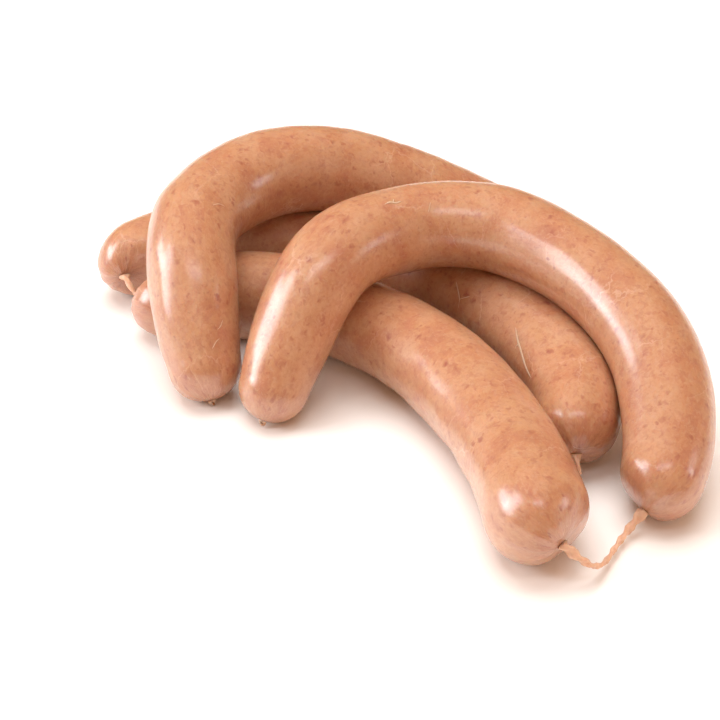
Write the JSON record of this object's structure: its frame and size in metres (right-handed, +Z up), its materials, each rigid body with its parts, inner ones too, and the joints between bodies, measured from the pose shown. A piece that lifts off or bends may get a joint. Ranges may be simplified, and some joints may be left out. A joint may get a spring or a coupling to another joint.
{
  "type": "string of sausage links",
  "caption": "String of raw, curved sausage links in natural casing, folded so that some lie across the others, with thin twists of casing between them.",
  "frame": {"origin": "centre of the bounding box's footprint, on the table", "axes": "+Z up; -Y towards the side where the folded string shows its crossing links"},
  "size_m": [0.2008, 0.2038, 0.0593],
  "materials": {
    "sausage": "moist natural casing over raw minced meat",
    "casing": "thin twisted empty casing"
  },
  "bodies": {
    "root": {"link_1": "sausage", "link_2": "sausage", "link_3": "sausage", "link_4": "sausage", "twist_1": "casing", "twist_2": "casing", "tail_1": "casing", "tail_2": "casing", "tail_3": "casing", "tail_4": "casing"}
  },
  "joints": []
}
